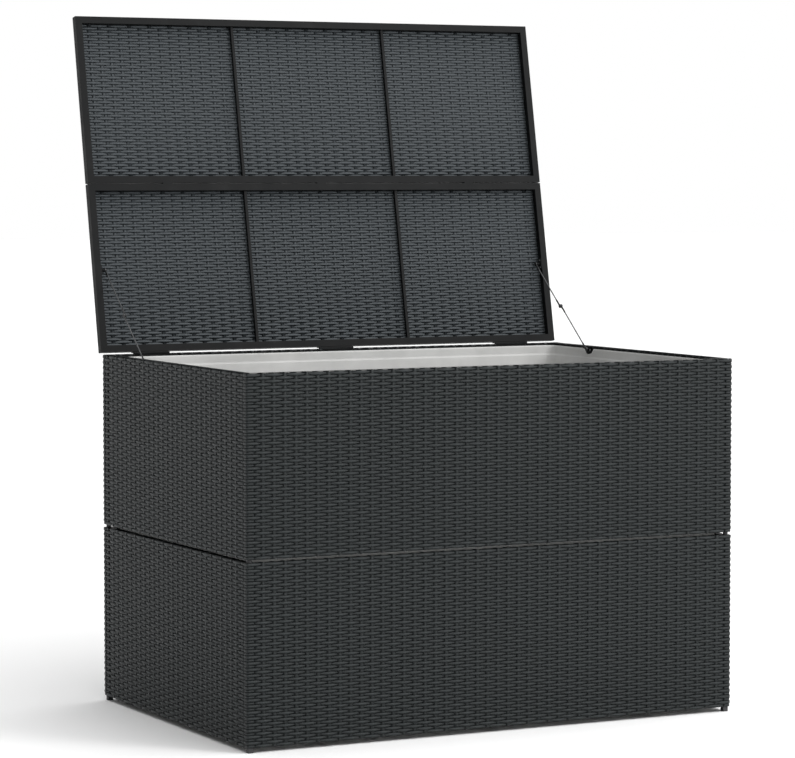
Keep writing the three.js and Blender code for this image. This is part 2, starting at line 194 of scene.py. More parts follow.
class Finish:
    """One material, or the world, with its nodes."""

    def __init__(self, name, kind="materials", surface="Principled BSDF"):
        self.owner = getattr(bpy.data, kind).new(name)
        self.owner.use_nodes = True
        self.tree = self.owner.node_tree
        self.surface = self.tree.nodes[surface]

    def node(self, kind, settings=None, values=None, output=0):
        """Adds a node, sets it up, fills its sockets and returns one output."""
        made = self.tree.nodes.new(kind)
        for key, value in (settings or {}).items():
            setattr(made, key, value)
        for key, value in (values or {}).items():
            self.fill(made.inputs[key], value)
        return Socket(self, made.outputs[output])

    def fill(self, target, value):
        if isinstance(value, Socket):
            self.tree.links.new(value.link, target)
        else:
            target.default_value = value

    def set(self, **values):
        """Fills the surface's sockets; an underscore stands for a space."""
        for key, value in values.items():
            self.fill(self.surface.inputs[key.replace("_", " ")], value)
        return self

    def maths(self, operation, first, second):
        return self.node("ShaderNodeMath", {"operation": operation}, {0: first, 1: second})

    def place(self):
        return self.node("ShaderNodeTexCoord", output="Object")

    def attribute(self, name):
        return self.node("ShaderNodeAttribute", {"attribute_name": name}, output="Fac")

    def vector(self, x, y, z):
        return self.node("ShaderNodeCombineXYZ", values={0: x, 1: y, 2: z})

    def noise(self, where, scale, detail=2.0, roughness=0.5):
        values = {"Vector": where, "Scale": scale, "Detail": detail, "Roughness": roughness}
        return self.node("ShaderNodeTexNoise", values=values, output="Fac")

    def limits(self, value, low, high, start=0.0, end=1.0):
        values = {0: value, 1: low, 2: high, 3: start, 4: end}
        return self.node("ShaderNodeMapRange", {"clamp": True}, values)

    def mix(self, share, first, second):
        values = {0: share, 6: as_colour(first), 7: as_colour(second)}
        return self.node("ShaderNodeMix", {"data_type": "RGBA"}, values, output=2)

    def bump(self, height, distance, strength=1.0):
        values = {"Height": height, "Distance": distance, "Strength": strength}
        return self.node("ShaderNodeBump", values=values)


def as_colour(value):
    return value if isinstance(value, Socket) else (*value, 1.0)


def strand_finish(name, dark, light, inner_painted_lit_dark, inner_painted_lit_light):
    """Extruded plastic strand: fine grooves along its length, each strand a little different, with
    a painted highlight on its crowns, painted shade in its dips and inner faces in tones of their
    own.
    """
    finish = Finish(name)
    along, across = finish.attribute("along"), finish.attribute("across")
    strand, inner = finish.attribute("strand"), finish.attribute("inner")
    raised = finish.attribute("raised")
    # Painted highlight and shade: the outer face is lighter where the strand stands out over a
    # stake and darker where it dips in, the inner face the other way round.
    painted_crown_highlight = finish.limits((1.0 - inner) * raised + inner * (1.0 - raised), 0.6, 1.0)
    grooves = finish.noise(finish.vector(along * 45.0, across * 7.0, strand * 31.0), 1.0, 3.0, 0.6)
    patches = finish.noise(finish.vector(along * 6.0, strand * 13.0, 0.5), 1.0, 2.0)
    # Seven tenths of the tone is the painted highlight and shade, three tenths the grooves and
    # patches of the strand's own colour.
    tone = finish.limits(grooves * 0.55 + patches * 0.45, 0.34, 0.66) * 0.3 + painted_crown_highlight * 0.7
    outside = finish.mix(tone, dark, light)
    # The inner faces' own tones: the same as the outer ones on the body, painted lighter under the
    # lid for the light falling on the open lid's underside.
    inside = finish.mix(tone, inner_painted_lit_dark, inner_painted_lit_light)
    return finish.set(
        Base_Color=finish.mix(inner, outside, inside),
        Roughness=finish.limits(grooves, 0.3, 0.7, 0.40, 0.58),
        Normal=finish.bump(grooves, 0.25 * MM, 0.6),
        Specular_IOR_Level=0.25,
    ).owner


def hard_finish(name, base, worn, patches, share, roughness, grain, **constants):
    """A hard surface: patches in its colour and gloss, and a fine grain in its bump.
    Patches are (scale, detail, roughness), grain is (scale, depth, strength)."""
    finish = Finish(name)
    where = finish.place()
    scale, depth, strength = grain
    fine, patch = finish.noise(where, scale), finish.noise(where, *patches)
    return finish.set(
        Base_Color=finish.mix(finish.limits(patch, *share), base, worn),
        Roughness=finish.limits(patch, 0.3, 0.7, *roughness),
        Normal=finish.bump(fine, depth, strength),
        **constants,
    ).owner


def coated_finish(name, base):
    """Powder coated steel: faint orange peel, dust in patches."""
    dusty = [channel * 1.7 + 0.001 for channel in base]
    return hard_finish(name, base, dusty, (14.0, 4.0, 0.6), (0.42, 0.72), (0.46, 0.60),
                       (900.0, 0.06 * MM, 0.5), Specular_IOR_Level=0.12)


def plated_finish(name, base):
    """Zinc plated steel with a fine brushed grain."""
    duller = [channel * 0.7 for channel in base]
    return hard_finish(name, base, duller, (120.0, 3.0), (0.35, 0.65), (0.28, 0.46),
                       (1600.0, 0.03 * MM, 0.4), Metallic=1.0)


def moulded_finish(name, base):
    """Moulded plastic with a light spark-eroded texture."""
    scuffed = [channel * 1.9 + 0.01 for channel in base]
    return hard_finish(name, base, scuffed, (60.0, 4.0, 0.65), (0.45, 0.7), (0.5, 0.68),
                       (1400.0, 0.08 * MM, 0.6))


def cloth_finish(name, base):
    """Plain woven polyester: threads both ways, faint shade from handling."""
    finish = Finish(name)
    length_way, round_way = finish.attribute("along"), finish.attribute("across")
    settings = {"wave_type": "BANDS", "bands_direction": "X", "wave_profile": "SIN"}
    threads = [
        finish.node("ShaderNodeTexWave", settings,
                    {"Vector": finish.vector(way, 0.0, 0.0), "Scale": 160.0}, output="Fac")
        for way in (length_way, round_way)
    ]
    shade = finish.noise(finish.place(), 5.0, 4.0, 0.6)
    darker = [channel * 0.80 for channel in base]
    return finish.set(
        Base_Color=finish.mix(finish.limits(shade, 0.35, 0.7), base, darker),
        Roughness=0.85,
        Sheen_Weight=0.25,
        Normal=finish.bump(threads[0] + threads[1], 0.15 * MM, 0.5),
    ).owner


# ------ mesh maths


def new_piece(name, points, quads, material, smooth=True, attributes=None):
    """A mesh object from arrays of points and of four-cornered faces."""
    mesh = bpy.data.meshes.new(name)
    mesh.vertices.add(len(points))
    mesh.vertices.foreach_set("co", np.ascontiguousarray(points, np.float32).ravel())
    mesh.loops.add(quads.size)
    mesh.loops.foreach_set("vertex_index", np.ascontiguousarray(quads, np.int32).ravel())
    mesh.polygons.add(len(quads))
    mesh.polygons.foreach_set("loop_start", np.arange(0, quads.size, 4, dtype=np.int32))
    mesh.polygons.foreach_set("use_smooth", np.full(len(quads), smooth))
    for key, values in (attributes or {}).items():
        mesh.attributes.new(key, "FLOAT", "POINT").data.foreach_set(
            "value", np.ascontiguousarray(values, np.float32).ravel()
        )
    mesh.update(calc_edges=True)
    mesh.materials.append(material)
    made = bpy.data.objects.new(name, mesh)
    bpy.context.scene.collection.objects.link(made)
    return made


def unit(vectors):
    return vectors / np.maximum(np.linalg.norm(vectors, axis=-1, keepdims=True), 1e-12)


class Strands:
    """Collects flat strands and joins them into one mesh."""

    SECTION = ((1.0, 0.0), (0.0, 1.0), (-1.0, 0.0), (0.0, -1.0))

    def __init__(self, seed):
        self.random = np.random.default_rng(seed)
        self.points, self.quads, self.count = [], [], 0
        self.attributes = {}

    def lay(self, lines, outward, width, thickness, raised=0.0):
        """Adds strands of one length: lines and outward are (strands, samples, 3).
        Raised is 1 where a strand stands furthest out of the weave and 0 furthest in; the strand
        finish paints a highlight on the outer face where it is high and shade where it is low."""
        lines = np.asarray(lines, float)
        outward = np.broadcast_to(np.asarray(outward, float), lines.shape)
        tangent = unit(np.gradient(lines, axis=1))
        across = unit(np.cross(outward, tangent))
        normal = np.cross(tangent, across)
        half = np.stack([across * width / 2, normal * thickness / 2])
        ring = np.stack([lines + a * half[0] + n * half[1] for a, n in self.SECTION], axis=2)
        shape = ring.shape[:3]
        index = self.count + np.arange(math.prod(shape)).reshape(shape)
        following = np.roll(index, -1, axis=2)
        sides = np.stack([index[:, :-1], following[:, :-1], following[:, 1:], index[:, 1:]], -1)
        caps = [index[:, 0, [0, 3, 2, 1]], index[:, -1]]
        self.quads += [sides.transpose(2, 0, 1, 3).reshape(-1, 4), *caps]
        self.points.append(ring.reshape(-1, 3))
        self.count += index.size
        steps = np.linalg.norm(np.diff(lines, axis=1), axis=-1)
        run = np.concatenate([np.zeros((len(lines), 1)), np.cumsum(steps, axis=1)], axis=1)
        section = np.array(self.SECTION)
        values = {
            "along": run[..., None],
            "across": section[:, 0],
            "inner": 0.5 - 0.5 * section[:, 1],
            "raised": np.broadcast_to(raised, shape[:2])[..., None],
            "strand": self.random.random((len(lines), 1, 1)),
        }
        for key, value in values.items():
            self.attributes.setdefault(key, []).append(np.broadcast_to(value, shape).ravel())

    def piece(self, name, material, place):
        points = place(np.concatenate(self.points))
        attributes = {key: np.concatenate(parts) for key, parts in self.attributes.items()}
        return new_piece(name, points, np.concatenate(self.quads), material, True, attributes)


def wrapped_quads(rows, columns):
    """Faces of a sheet of points whose last column joins its first."""
    index = np.arange(rows * columns).reshape(rows, columns)
    following = np.roll(index, -1, axis=1)
    faces = np.stack([index[:-1], following[:-1], following[1:], index[1:]], axis=-1)
    return faces.reshape(-1, 4)


def lathe(profile, segments=24):
    """Points and quads of a profile of (radius, height) turned about Z."""
    profile = np.asarray(profile, float)
    angle = np.linspace(0, 2 * math.pi, segments, endpoint=False)
    points = np.stack([
        profile[:, None, 0] * np.cos(angle), profile[:, None, 0] * np.sin(angle),
        np.broadcast_to(profile[:, None, 1], (len(profile), segments)),
    ], axis=-1)
    return points.reshape(-1, 3), wrapped_quads(len(profile), segments)


# ------ body weaving

CORNER_RADIUS = 5 * MM
RIM_COVER = 2.9 * MM  # from a panel's edge to its steel rail
EDGE_MARGIN = 2.5 * MM  # from a panel's edge to its first strand
POST_LIFT = 0.7 * MM  # strands that run over a post
POST_TUCK = -0.3 * MM  # wraps between them
DIVE = -3.6 * MM  # how far a strand's end goes in beside a post
STEEL_SET_BACK = 4.0 * MM  # from a panel's outer face to its steel frame
WEAVE_SET_BACK = 1.4 * MM  # from a panel's outer face to the middle of its weave
UNEVENNESS = 0.10 * MM  # spread of the rows' heights
POST_GAP = 1.2 * MM  # a strand that dives stops this far before the post
HINGE_SIDE, HINGE_BELOW = 1.5 * MM, 5 * MM  # room in the weave round a hinge leaf
HINGE_STAKE = 4 * MM  # stakes this near a hinge's room end under it
BRACKET_STAKE = 22 * MM  # stakes this near a stay bracket aren't folded over the rail
RIM_THICKNESS = 1.2 * MM
RIM_INSET = {"front": 0.6 * MM, "left": 0.6 * MM, "right": 0.6 * MM, "back": 4.4 * MM}


class Panel:
    """One woven panel: u runs along it, v up it and n out of it."""

    def __init__(self, face, tier):
        self.face, self.tier = face, tier
        skin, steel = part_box(f"{tier}_{face}_weave"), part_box(f"{tier}_{face}_frame")
        self.low, self.high = skin[0].z, skin[1].z
        self.long = face in ENDS
        run, out = (0, 1) if self.long else (1, 0)
        sign = ENDS[face] if self.long else SIDES[face]
        self.middle = (skin[1][run] + skin[0][run]) / 2
        self.steel_half = (steel[1][run] - steel[0][run]) / 2
        # the front and back strands wrap the corner posts, those of the sides don't
        self.half = (skin[1][run] - skin[0][run]) / 2 if self.long else self.steel_half
        edge = skin[1][out] if sign > 0 else skin[0][out]
        self.surface = abs(edge - self.centre_of(out))
        self.tube = min(steel[1][out] - steel[0][out], steel[1][run] - steel[0][run])
        self.sign, self.run, self.out = sign, run, out

    @staticmethod
    def centre_of(axis):
        low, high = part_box("lower_left_weave"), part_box("lower_right_weave")
        return (low[0][axis] + high[1][axis]) / 2

    def place(self, points):
        """From the panel's own u, n, v to the frame."""
        placed = np.empty_like(points)
        placed[..., self.run] = self.middle + points[..., 0]
        placed[..., self.out] = self.centre_of(self.out) + self.sign * points[..., 1]
        placed[..., 2] = points[..., 2]
        return placed


def row_heights(low, high, rows):
    step = (high - low - 2 * EDGE_MARGIN) / rows
    return low + EDGE_MARGIN + step * (np.arange(rows) + 0.5)


def rows_from(profile, heights, jitter):
    """Lines (rows, samples, 3) from a plan profile of (u, n) and each row's height."""
    u, n = profile
    lines = np.empty((len(heights), len(u), 3))
    lines[..., 0], lines[..., 1] = u, n
    lines[..., 2] = np.asarray(heights)[:, None] + jitter
    return lines


class Layout:
    """Sizes shared by the strands of one panel."""

    def __init__(self, panel, weave):
        self.columns = weave.columns_wide if panel.long else weave.columns_deep
        self.pitch = 2 * panel.half / self.columns
        self.last = self.columns // 2
        self.plane = panel.surface - WEAVE_SET_BACK
        self.post = panel.steel_half - panel.tube  # inner edge of the end posts
        self.wave = weave.wave

    def waved(self, u, parity):
        """Plan profile over the window between the posts."""
        return self.plane + self.wave * np.cos(math.pi * (u / self.pitch + parity))

    def raised(self, profile):
        """How far out each point of a plan profile is, from 0 to 1."""
        return np.clip(0.5 + 0.5 * (profile[1] - self.plane) / self.wave, 0, 1)


def post_end(panel, layout, lift):
    """Plan profile from a panel's last column round its end, for u > 0."""
    if not panel.long:
        u = np.array([panel.half - 10 * MM, panel.half - 4 * MM, panel.half - 0.4 * MM])
        return u, np.array([layout.plane + lift] * 2 + [layout.plane + lift - 0.6 * MM])
    radius = CORNER_RADIUS
    corner = np.linspace(0, math.pi / 2, 6)
    side = panel.half - (panel.surface - layout.plane) + lift
    front = layout.plane + lift
    u = side - radius + radius * np.sin(corner)
    n = front - radius + radius * np.cos(corner)
    depth = panel.surface - panel.tube - 3 * MM
    u = np.concatenate([[side - radius - 4 * MM], u, [side, side, side]])
    n = np.concatenate([[front], n, np.linspace(front - radius, depth, 4)[1:]])
    return u, n


def mirrored(profile):
    u, n = profile
    return -u[::-1], n[::-1]


def joined(*profiles):
    return tuple(np.concatenate([p[k] for p in profiles]) for k in range(2))


def strand_rows(strands, panel, layout, weave, heights, gaps):
    """Lays every row; gaps are (u from, u to, height above which strands stop)."""
    over_last = layout.last % 2
    jitter = strands.random.normal(0, UNEVENNESS, (len(heights), 1))
    for parity in (0, 1):
        chosen = np.arange(len(heights)) % 2 == parity
        over = parity == over_last
        edge = layout.last * layout.pitch
        quarter = layout.pitch / 4
        reach = edge if over else layout.post - POST_GAP
        steps = int((reach - 1e-6) / quarter)
        u = np.arange(-steps, steps + 1) * quarter
        window = (u, layout.waved(u, parity))
        end = post_end(panel, layout, POST_LIFT) if over else (
            np.array([layout.post - POST_GAP]), np.array([layout.plane + DIVE]))
        whole = joined(mirrored(end), window, end)
        for open_rows, profiles in split_rows(whole, heights[chosen], gaps):
            for profile in profiles:
                lines = rows_from(profile, heights[chosen][open_rows], jitter[chosen][open_rows])
                strands.lay(lines, outward_of(profile), weave.strand_width,
                            weave.strand_thickness, layout.raised(profile))
        if not over:
            start = (np.array([layout.post + 0.6 * MM, layout.post + 5 * MM]),
                     np.array([layout.plane + POST_TUCK] * 2))
            band = joined(start, post_end(panel, layout, POST_TUCK))
            keep = np.concatenate([[True], np.diff(band[0]) > -1e-9])
            band = tuple(values[keep] for values in band)
            for profile in (band, mirrored(band)):
                lines = rows_from(profile, heights[chosen], jitter[chosen])
                strands.lay(lines, outward_of(profile), weave.strand_width,
                            weave.strand_thickness, 0.5)


def outward_of(profile):
    """Unit normals of a plan profile, pointing out of the panel."""
    u, n = profile
    along = unit(np.stack([np.gradient(u), np.gradient(n)], axis=-1))
    return np.stack([-along[:, 1], along[:, 0], np.zeros(len(u))], axis=-1)


def split_rows(profile, heights, gaps):
    """Whole rows, and rows that stop at gaps such as the hinges' seats."""
    if not gaps:
        return [(np.ones(len(heights), bool), [profile])]
    limit = gaps[0][2]
    cut = heights > limit
    u, n = profile
    parts, start = [], -np.inf
    for low, high, _ in [*gaps, (np.inf, np.inf, 0)]:
        inside = (u > start) & (u < low)
        part = (u[inside], n[inside])
        for edge, at_end in ((start, False), (low, True)):
            if np.isfinite(edge):
                value = np.interp(edge, u, n)
                order = (part, ([edge], [value])) if at_end else (([edge], [value]), part)
                part = joined(*[(np.asarray(a), np.asarray(b)) for a, b in order])
        parts.append(part)
        start = high
    return [(~cut, [profile]), (cut, parts)]


def stake_profile(panel, layout, weave, top):
    """Upright profile (n, v) of a stake, folded over the bottom rail, and over the top one
    unless top is the height at which it ends."""
    out = layout.plane
    inside = panel.surface - STEEL_SET_BACK - panel.tube - 0.7 * MM
    lift = weave.stake_thickness / 2 + 0.2 * MM
    fold = []
    for level, side, end in ((panel.high, 1, top), (panel.low, -1, "fold")):
        rail = level - side * RIM_COVER + side * lift
        if end == "fold":
            fold.append([
                (out, rail - side * 2.2 * MM), (out - 0.6 * MM, rail - side * 0.6 * MM),
                (out - 2 * MM, rail), (inside + 1.4 * MM, rail),
                (inside + 0.3 * MM, rail - side * 0.4 * MM), (inside, rail - side * 1.6 * MM),
                (inside, rail - side * 5.2 * MM),
            ])
        else:
            fold.append([(out, end)])
    return np.array(fold[1][::-1] + fold[0])


def lay_stakes(strands, panel, layout, weave, gaps, blocked):
    """Upright stakes between the posts, folded over both rails."""
    plans = {}
    for column in range(-layout.last + 1, layout.last):
        u = column * layout.pitch
        gap = next((g for g in gaps if g[0] - HINGE_STAKE < u < g[1] + HINGE_STAKE), None)
        top = gap[2] if gap else "fold"
        if any(abs(u - b) < BRACKET_STAKE for b in blocked):
            top = panel.high - RIM_COVER
        plans.setdefault(top, []).append(u)
    for top, places in plans.items():
        profile = stake_profile(panel, layout, weave, top)
        lines = np.empty((len(places), len(profile), 3))
        lines[..., 0] = np.array(places)[:, None]
        lines[..., 1:] = profile
        along = unit(np.gradient(profile, axis=0))
        outward = np.stack([np.zeros(len(profile)), along[:, 1], -along[:, 0]], axis=-1)
        # Raised is left at 0, so the stakes' outer faces take the darkest tone: painted shade
        # between the strands.
        strands.lay(lines, outward, weave.stake_width, weave.stake_thickness)


def lay_rim(strands, panel):
    """A flat strand over the folded stakes along the top rail."""
    inner = panel.surface - STEEL_SET_BACK - panel.tube + 0.4 * MM
    outer = panel.surface - RIM_INSET[panel.face]
    reach, level = panel.half - 0.6 * MM, panel.high - 0.8 * MM
    line = [(u, (inner + outer) / 2, level) for u in (-reach, 0.0, reach)]
    strands.lay([line], (0, 0, 1), outer - inner, RIM_THICKNESS)


def weave_panel(face, tier, weave, material, seed):
    panel = Panel(face, tier)
    layout = Layout(panel, weave)
    strands = Strands(seed)
    gaps, blocked = [], []
    if (face, tier) == ("back", "upper"):
        for name in HINGES:
            low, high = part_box(f"{name}_hinge_box_leaf")
            gaps.append((low.x - HINGE_SIDE, high.x + HINGE_SIDE, low.z - HINGE_BELOW))
    if tier == "upper" and not panel.long:
        low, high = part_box(f"{face}_stay_box_bracket")
        blocked = [(low.y + high.y) / 2 - panel.middle]
    heights = row_heights(panel.low, panel.high, weave.rows)
    strand_rows(strands, panel, layout, weave, heights, gaps)
    lay_stakes(strands, panel, layout, weave, gaps, blocked)
    if tier == "upper":
        lay_rim(strands, panel)
    made = strands.piece(f"{tier}_{face}_strands", material, panel.place)
    if panel.sign * (1 if panel.long else -1) > 0:
        made.data.flip_normals()
    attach(made, "box")
    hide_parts(f"{tier}_{face}_weave")


# ------ lid weaving

EDGE_WIDTH = 5.2 * MM  # strand down the edge of a lid panel
LID_SHARE = 0.55  # the lid is woven this much flatter than the body
LID_OVERLAP = 0.9 * MM  # and its strands are wider by this
LID_RAIL = 21 * MM  # from a panel's edge to the inner side of its rail
LID_TIP = 0.8 * MM  # from a panel's edge to the ends of its strands
LID_TUCK = -0.2 * MM  # strands that run lower over the rail
BORDER_THICKNESS = 1.0 * MM
LID_OPEN = math.radians(JOINTS["lid_hinge"]["range_deg"][1])
PIN = Vector(JOINTS["lid_hinge"]["pos_m"])


def turned(y, z, sign):
    """Y and Z turned about the hinge: the sign is 1 to open the lid and -1 to shut it."""
    cos, sin = math.cos(LID_OPEN), sign * math.sin(LID_OPEN)
    return y * cos + z * sin, z * cos - y * sin


def about_pin(points, sign):
    y, z = turned(points[..., 1] - PIN.y, points[..., 2] - PIN.z, sign)
    return np.stack([points[..., 0], y + PIN.y, z + PIN.z], axis=-1)


def opened(points):
    """Points of the shut lid, turned to where the open lid has them."""
    return about_pin(points, 1)


def shut_limits(node):
    """A lid node's lowest and highest corner as they are with the lid shut."""
    points = about_pin(np.array([v.co for v in frame["nodes"][node].data.vertices]), -1)
    return Vector(points.min(0)), Vector(points.max(0))


def weave_lid_panel(name, weave, material, seed):
    low, high = shut_limits(f"lid_{name}_weave")
    strands = Strands(seed)
    half = (high.x - low.x) / 2
    pitch = 2 * half / weave.columns_wide
    last = weave.columns_wide // 2
    plane = (low.z + high.z) / 2 + 0.1 * MM
    lid_wave = weave.wave * LID_SHARE
    u = np.arange(-4 * last, 4 * last + 1) * pitch / 4
    places = row_heights(low.y, high.y, weave.rows)
    jitter = strands.random.normal(0, UNEVENNESS, (len(places), 1))
    for parity in (0, 1):
        chosen = np.arange(len(places)) % 2 == parity
        lift = POST_LIFT if parity == last % 2 else LID_TUCK
        wave = lid_wave * np.cos(math.pi * (u / pitch + parity))
        on_rail = np.abs(u) > half - LID_RAIL
        wave[on_rail] = np.maximum(wave[on_rail], lift)
        tip = half - LID_TIP
        profile = joined(([-tip], [plane + lift]), (u, plane + wave), ([tip], [plane + lift]))
        lines = np.empty((chosen.sum(), len(profile[0]), 3))
        lines[..., 0], lines[..., 2] = profile
        lines[..., 1] = places[chosen][:, None] + jitter[chosen]
        normals = outward_of(profile)[:, [0, 2, 1]]
        raised = np.clip(0.5 + 0.5 * (profile[1] - plane) / lid_wave, 0, 1)
        width = weave.strand_width + LID_OVERLAP
        strands.lay(lines, normals, width, weave.strand_thickness, raised)
    columns = np.arange(-last + 1, last) * pitch
    lines = np.empty((len(columns), 3, 3))
    lines[..., 0] = columns[:, None]
    lines[..., 1] = np.linspace(low.y + 1 * MM, high.y - 1 * MM, 3)
    lines[..., 2] = plane
    # At 0.5 the stakes take the darkest tone on both faces: painted shade between the strands.
    strands.lay(lines, (0, 0, 1), weave.stake_width, weave.stake_thickness, 0.5)
    lay_border(strands, low, high, plane, weave)
    made = strands.piece(f"lid_{name}_strands", material, opened)
    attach(made, "lid")
    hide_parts(f"lid_{name}_weave")


def lay_border(strands, low, high, plane, weave):
    """Flat strands round the panel, over the ends of the others and down its edge."""
    inset = weave.strand_width / 2 + 0.4 * MM
    level = plane + weave.wave * LID_SHARE + weave.strand_thickness / 2 + 0.2 * MM
    for axis in (0, 1):
        other = 1 - axis
        for side, edge in ((1, low[axis]), (-1, high[axis])):
            shorten = inset * 2 if axis == 0 else 0.4 * MM
            for at, height, outward, width, trim in (
                (edge + side * inset, level, (0, 0, 1), weave.strand_width, shorten),
                (edge + side * 0.5 * MM, plane + 0.3 * MM, None, EDGE_WIDTH, 0.5 * MM),
            ):
                line = np.empty((1, 3, 3))
                line[..., axis], line[..., 2] = at, height
                line[..., other] = np.linspace(low[other] + trim, high[other] - trim, 3)
                if outward is None:
                    outward = np.zeros(3)
                    outward[axis] = -side
                strands.lay(line, outward, width, BORDER_THICKNESS)


# ------ metalwork

PLATE_SINK = 2 * MM  # from a plate's back to the foot of its screw heads
HINGE_ROWS = (9 * MM, 26 * MM)  # screws above the foot of a hinge's box leaf
LID_LEAF_ROW = 6 * MM  # screws below the top of a hinge's lid leaf
BRACKET_SPREAD = 10.5 * MM  # screws to either side of a bracket's middle
BRACKET_SCREW = 2.6 * MM  # radius of a bracket's screw heads
BRACKET_SHADE = 0.8  # share of the powder coat's brightness
CAD_EDGE_ANGLE = math.radians(50)  # sharper edges than this are rounded


def dress(nodes, material, radius, segments=2):
    """Gives CAD nodes a finish and rounded edges."""
    for name in nodes:
        node = frame["nodes"][name]
        node.data.materials.clear()
        node.data.materials.append(material)
        bevel = node.modifiers.new("rounded_edges", "BEVEL")
        bevel.width, bevel.segments = radius, segments
        bevel.limit_method, bevel.angle_limit = "ANGLE", CAD_EDGE_ANGLE
        bevel.harden_normals = True
        node.data.shade_smooth()


def screw_mesh(radius):
    """A domed screw head with a cross recess, its foot on Z = 0."""
    rings, segments = 8, 32
    share = np.linspace(0, 1, rings)
    dome = [(radius * s, 0.42 * radius * (1 - s * s) + 0.12 * radius) for s in share]
    profile = [(1e-5, 0.0), (radius, 0.0)] + dome[::-1]
    points, quads = lathe(profile, segments)
    away = np.hypot(points[:, 0], points[:, 1])
    near_arm = np.minimum(np.abs(points[:, 0]), np.abs(points[:, 1])) < 0.17 * radius
    recess = near_arm & (away < 0.62 * radius) & (points[:, 2] > 0.1 * radius)
    points[recess, 2] -= 0.30 * radius
    return points, quads


def put_screws(name, places, outward, radius, material, body):
    """Screw heads joined into one piece. Those of the lid are placed as if it were shut."""
    head, faces = screw_mesh(radius)
    places = np.array(places)
    if body == "lid":
        places, outward = opened(places), (outward[0], *turned(outward[1], outward[2], 1))
    turn = np.array(Vector(outward).to_track_quat("Z", "Y").to_matrix())
    points, quads = [], []
    for count, at in enumerate(places):
        spin = np.array(Matrix.Rotation(0.7 * count, 3, "Z"))
        points.append(head @ (turn @ spin).T + at)
        quads.append(faces + count * len(head))
    made = new_piece(name, np.concatenate(points), np.concatenate(quads), material)
    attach(made, body)


def hinge_screws(name, radius, material):
    low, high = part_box(f"{name}_hinge_box_leaf")
    middle, third = (low.x + high.x) / 2, (high.x - low.x) / 3
    places = [
        (middle + k * spread, low.y + PLATE_SINK, low.z + row)
        for row, spread, steps in ((HINGE_ROWS[0], third, (-1, 0, 1)),
                                   (HINGE_ROWS[1], third * 0.55, (-1, 1)))
        for k in steps
    ]
    put_screws(f"{name}_hinge_box_screws", places, (0, 1, 0), radius, material, "box")
    low, high = shut_limits(f"{name}_hinge_lid_leaf")
    places = [(middle + k * third, low.y + PLATE_SINK, high.z - LID_LEAF_ROW) for k in (-1, 0, 1)]
    put_screws(f"{name}_hinge_lid_screws", places, (0, 1, 0), radius, material, "lid")


def bracket_screws(side, material):
    sign = SIDES[side]
    for body, limits in (("box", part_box), ("lid", shut_limits)):
        low, high = limits(f"{side}_stay_{body}_bracket")
        plate = (low.x if sign < 0 else high.x) - sign * PLATE_SINK
        middle, level = (low.y + high.y) / 2, (low.z + high.z) / 2
        places = [(plate, middle + k * BRACKET_SPREAD, level) for k in (-1, 1)]
        name = f"{side}_{body}_bracket_screws"
        put_screws(name, places, (-sign, 0, 0), BRACKET_SCREW, material, body)


# ------ stays

EYE_RADIUS, EYE_BORE = 6 * MM, 2.3 * MM
SLEEVE_END = 30 * MM  # from a pivot to the end of the crimped sleeve
WIRE_SHADE, FITTING_SHADE = 0.24, 0.16  # shares of the zinc's brightness
ROPE_START = 14 * MM  # from a pivot to the end of the rope, inside the sleeve


def rope(length_m, radius, lay):
    """A six-strand wire rope along Z from 0 to length_m."""
    round_steps, steps = 24, max(8, int(length_m / lay * 14))
    angle = np.linspace(0, 2 * math.pi, round_steps, endpoint=False)
    along = np.linspace(0, length_m, steps + 1)
    lobes = 1 - 0.13 * (1 - np.abs(np.cos(3 * angle)))
    twisted = angle + (2 * math.pi * along / lay)[:, None]
    points = np.stack([
        radius * lobes * np.cos(twisted), radius * lobes * np.sin(twisted),
        np.broadcast_to(along[:, None], twisted.shape),
    ], axis=-1).reshape(-1, 3)
    ring = np.arange(round_steps)
    caps = []
    for start, centre, step in ((0, len(points), -1),
                                (len(points) - round_steps, len(points) + 1, 1)):
        for k in range(0, round_steps, 2):
            corners = [*(start + ring[[k, k + 1, (k + 2) % round_steps]]), centre]
            caps.append(corners[::step])
    quads = np.concatenate([wrapped_quads(steps + 1, round_steps), caps])
    return np.concatenate([points, [[0, 0, 0], [0, 0, length_m]]]), quads


def eye_and_sleeve(thickness):
    """A flat eye about the X axis at the origin, with a crimped sleeve along +Z."""
    outline = 32
    angle = np.linspace(0, 2 * math.pi, outline, endpoint=False)
    bevelled = EYE_RADIUS - 0.6 * MM
    profile = [(EYE_BORE, -0.5), (bevelled, -0.5), (EYE_RADIUS, -0.3), (EYE_RADIUS, 0.3),
               (bevelled, 0.5), (EYE_BORE, 0.5)]
    eye = np.concatenate([
        np.stack([np.full(outline, t * thickness), r * np.cos(angle), r * np.sin(angle)], -1)
        for r, t in profile
    ])
    quads = wrapped_quads(len(profile) + 1, outline) % len(eye)  # the last ring joins the first
    start = EYE_RADIUS - 1.2 * MM
    tube = [(1e-5, start), (2.6 * MM, start), (3.1 * MM, start + 1.5 * MM),
            (3.1 * MM, start + 6 * MM), (2.7 * MM, start + 7 * MM), (3.1 * MM, start + 8 * MM),
            (3.1 * MM, SLEEVE_END - 3 * MM), (2.3 * MM, SLEEVE_END), (1e-5, SLEEVE_END)]
    sleeve, faces = lathe(tube)
    sleeve[:, 0] *= np.clip(thickness / (6.2 * MM), 0, 1)
    return np.concatenate([eye, sleeve]), np.concatenate([quads, faces + len(eye)])


